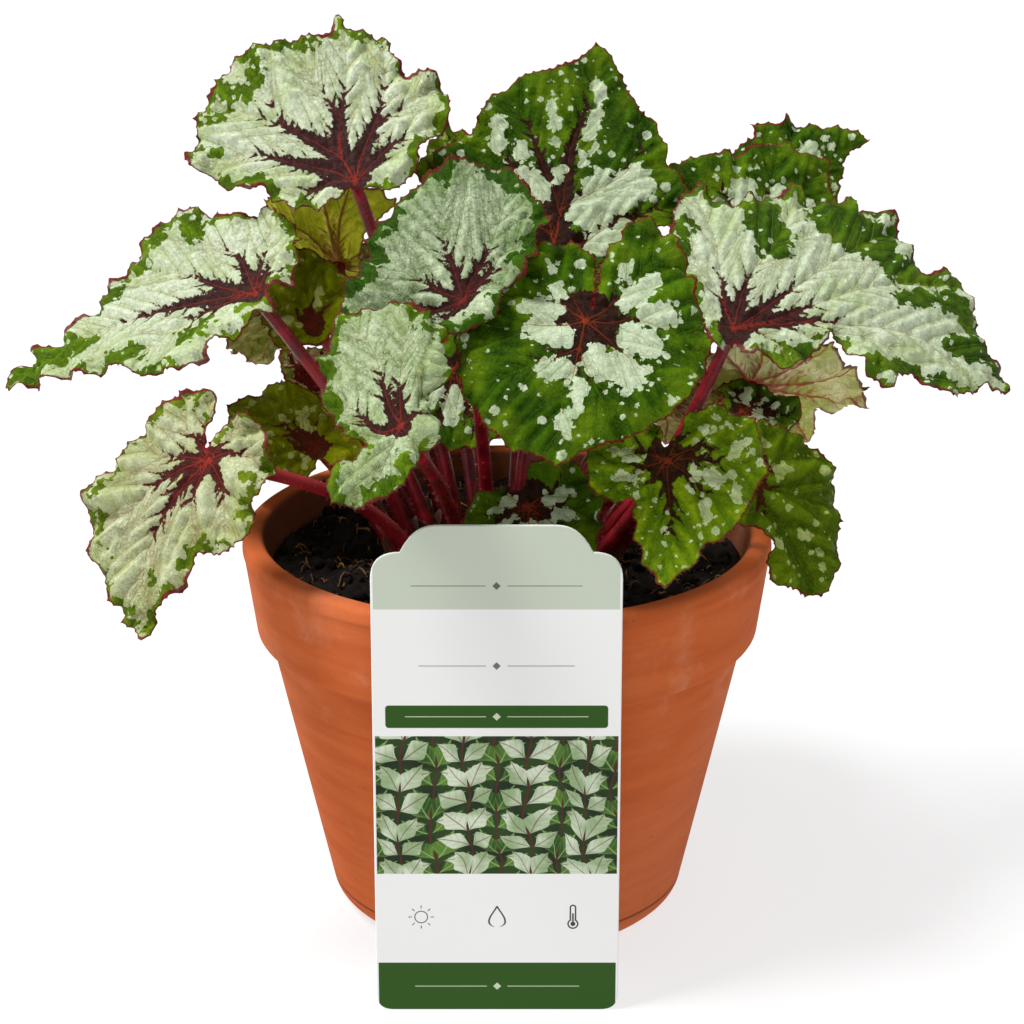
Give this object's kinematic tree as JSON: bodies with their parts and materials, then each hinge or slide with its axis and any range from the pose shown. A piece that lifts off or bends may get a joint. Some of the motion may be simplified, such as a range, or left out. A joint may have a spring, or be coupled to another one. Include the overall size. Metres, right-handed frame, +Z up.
{
  "type": "potted rex begonia",
  "caption": "Rex begonia with waved silver and green leaves on hairy red petioles, rooted in soil in a collared terracotta pot, with a plain plant label standing at its front.",
  "frame": {"origin": "middle of the pot's base, on the surface it stands on", "axes": "+Z up along the pot's axis, the front with the label faces -Y, +X to the right seen from the front"},
  "size_m": [0.3064, 0.2123, 0.2697],
  "materials": {
    "terracotta": "matt unglazed clay with faint streaks",
    "soil": "dark crumbly peat with brown fibres",
    "rhizome": "knobbly brown skin with scars",
    "petiole": "crimson, fleshy, with pale bristles",
    "leaf_silver": "satin silver with a maroon star and a green speckled margin",
    "leaf_green": "glossy green with silver patches round a maroon star",
    "leaf_olive": "satin olive with red veins",
    "label": null
  },
  "bodies": {
    "root": {"pot": "terracotta", "soil": "soil", "rhizome": "rhizome", "petiole_silver_top_left": "petiole", "leaf_silver_top_left": "leaf_silver", "petiole_silver_left_long": "petiole", "leaf_silver_left_long": "leaf_silver", "petiole_silver_lower_left": "petiole", "leaf_silver_lower_left": "leaf_silver", "petiole_silver_curled": "petiole", "leaf_silver_curled": "leaf_silver", "petiole_silver_centre": "petiole", "leaf_silver_centre": "leaf_silver", "petiole_green_top": "petiole", "leaf_green_top": "leaf_green", "petiole_green_right_long": "petiole", "leaf_green_right_long": "leaf_green", "petiole_green_centre": "petiole", "leaf_green_centre": "leaf_green", "petiole_green_lower_right": "petiole", "leaf_green_lower_right": "leaf_green", "petiole_olive_right_hanging": "petiole", "leaf_olive_right_hanging": "leaf_olive", "petiole_olive_right_turned": "petiole", "leaf_olive_right_turned": "leaf_olive", "petiole_dark_right_small": "petiole", "leaf_dark_right_small": "leaf_olive", "petiole_green_back_right": "petiole", "leaf_green_back_right": "leaf_green", "petiole_green_back_far": "petiole", "leaf_green_back_far": "leaf_green", "petiole_bronze_back_small": "petiole", "leaf_bronze_back_small": "leaf_olive", "petiole_olive_left_turned": "petiole", "leaf_olive_left_turned": "leaf_olive", "petiole_olive_left_back": "petiole", "leaf_olive_left_back": "leaf_olive", "petiole_olive_left_lower": "petiole", "leaf_olive_left_lower": "leaf_olive", "petiole_red_left_small": "petiole", "leaf_red_left_small": "leaf_olive", "petiole_green_lower_centre": "petiole", "leaf_green_lower_centre": "leaf_green", "petiole_dark_centre_folded": "petiole", "leaf_dark_centre_folded": "leaf_olive", "petiole_silver_back_left": "petiole", "leaf_silver_back_left": "leaf_silver", "petiole_green_back_centre": "petiole", "leaf_green_back_centre": "leaf_green", "petiole_silver_back_low_right": "petiole", "leaf_silver_back_low_right": "leaf_silver", "petiole_green_back_low_left": "petiole", "leaf_green_back_low_left": "leaf_green", "petiole_olive_back_left_low": "petiole", "leaf_olive_back_left_low": "leaf_olive", "petiole_olive_back_right_low": "petiole", "leaf_olive_back_right_low": "leaf_olive", "plant_label": "label"}
  },
  "joints": []
}
